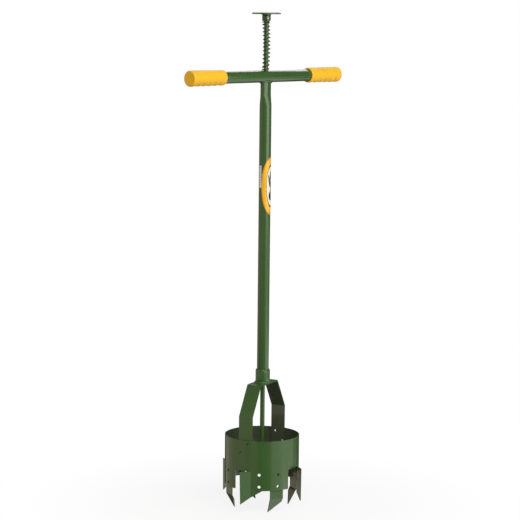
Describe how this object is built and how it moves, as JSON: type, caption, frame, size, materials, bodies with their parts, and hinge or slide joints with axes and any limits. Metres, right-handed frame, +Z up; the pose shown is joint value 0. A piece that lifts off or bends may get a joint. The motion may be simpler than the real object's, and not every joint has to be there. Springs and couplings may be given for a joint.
{
  "type": "bulb planter",
  "caption": "Long-handled bulb planter: T-handlebar and shaft over a ring-shaped cutter with folded wings and pointed teeth, and a sprung push disc that drives a plate to eject the soil plug.",
  "frame": {"origin": "on the shaft's axis, level with the tips of the cutting teeth", "axes": "+Z up along the shaft, +X along the handlebar"},
  "size_m": [0.457, 0.1898, 1.0668],
  "materials": {
    "green_enamel": "glossy dark green stoved enamel on steel",
    "spring_enamel": "green enamel on spring wire",
    "yellow_vinyl": "semi-gloss yellow dipped vinyl",
    "yellow_label": "printed film label",
    "pale_label": "printed paper label",
    "zinc_plate": "zinc plated steel"
  },
  "bodies": {
    "frame": {"handlebar": "green_enamel", "grip_left": "yellow_vinyl", "grip_right": "yellow_vinyl", "shaft_tube": "green_enamel", "handle_weld": "green_enamel", "oval_label": "yellow_label", "care_note": "pale_label", "socket_collar": "green_enamel", "socket_weld": "green_enamel", "shaft_weld": "green_enamel", "yoke": "green_enamel", "cutter_cylinder": "green_enamel", "cutting_tooth_1": "green_enamel", "cutting_tooth_2": "green_enamel", "cutting_tooth_3": "green_enamel", "cutting_tooth_4": "green_enamel", "return_spring": "spring_enamel"},
    "spring_seat": {"spring_seat": "green_enamel"},
    "ejector": {"push_rod": "green_enamel", "push_disc": "green_enamel", "push_collar": "green_enamel", "collar_pin": "zinc_plate", "disc_weld": "green_enamel", "ejector_plate": "green_enamel", "upper_washer": "zinc_plate", "lower_washer": "zinc_plate", "upper_nut": "zinc_plate", "lower_nut": "zinc_plate"}
  },
  "joints": [
    {"name": "ejector_slide", "type": "slide", "parent": "frame", "child": "spring_seat", "axis": [0, 0, -1], "range_m": [0, 0.07], "stiffness_N_per_m": 600, "springref_m": -0.03, "deforming": ["return_spring"]},
    {"name": "ejector_turn", "type": "hinge", "parent": "spring_seat", "child": "ejector", "pos_m": [0, 0, 1], "axis": [0, 0, 1], "continuous": true}
  ]
}
